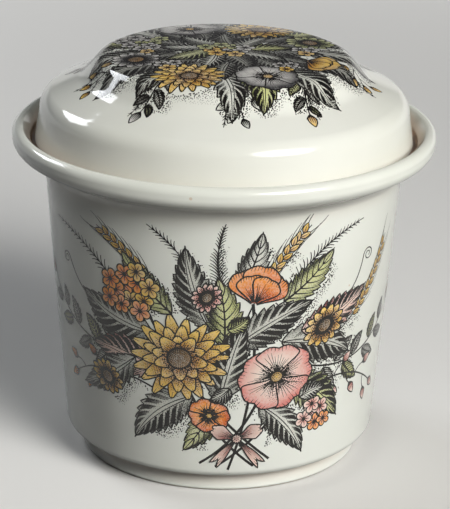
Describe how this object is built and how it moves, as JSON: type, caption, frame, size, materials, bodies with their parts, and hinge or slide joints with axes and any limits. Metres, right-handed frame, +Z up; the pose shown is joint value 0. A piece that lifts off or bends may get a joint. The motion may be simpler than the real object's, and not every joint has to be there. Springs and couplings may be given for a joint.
{
  "type": "lidded drip jar",
  "caption": "Round glazed earthenware jar with a flared rim and a loose domed lid that drops into a gallery inside the rim, for keeping cooking fat.",
  "frame": {"origin": "centre of the standing face, on the surface that the foot ring rests on", "axes": "+Z up along the turning axis of jar and lid, +X to the right and -Y towards the viewer of the printed front"},
  "size_m": [0.1266, 0.1266, 0.124],
  "materials": {
    "jar_glaze": "clear gloss glaze over cream-white earthenware, with a dark line print and hand tints under the glaze",
    "lid_glaze": "clear gloss glaze over cream-white earthenware, with a dark line print and hand tints under the glaze"
  },
  "bodies": {
    "jar": {"jar_body": "jar_glaze"},
    "lid": {"lid": "lid_glaze"}
  },
  "joints": [
    {"name": "lid_lift", "type": "slide", "parent": "jar", "child": "lid", "axis": [0, 0, 1], "range_m": [0, 0.06]}
  ]
}
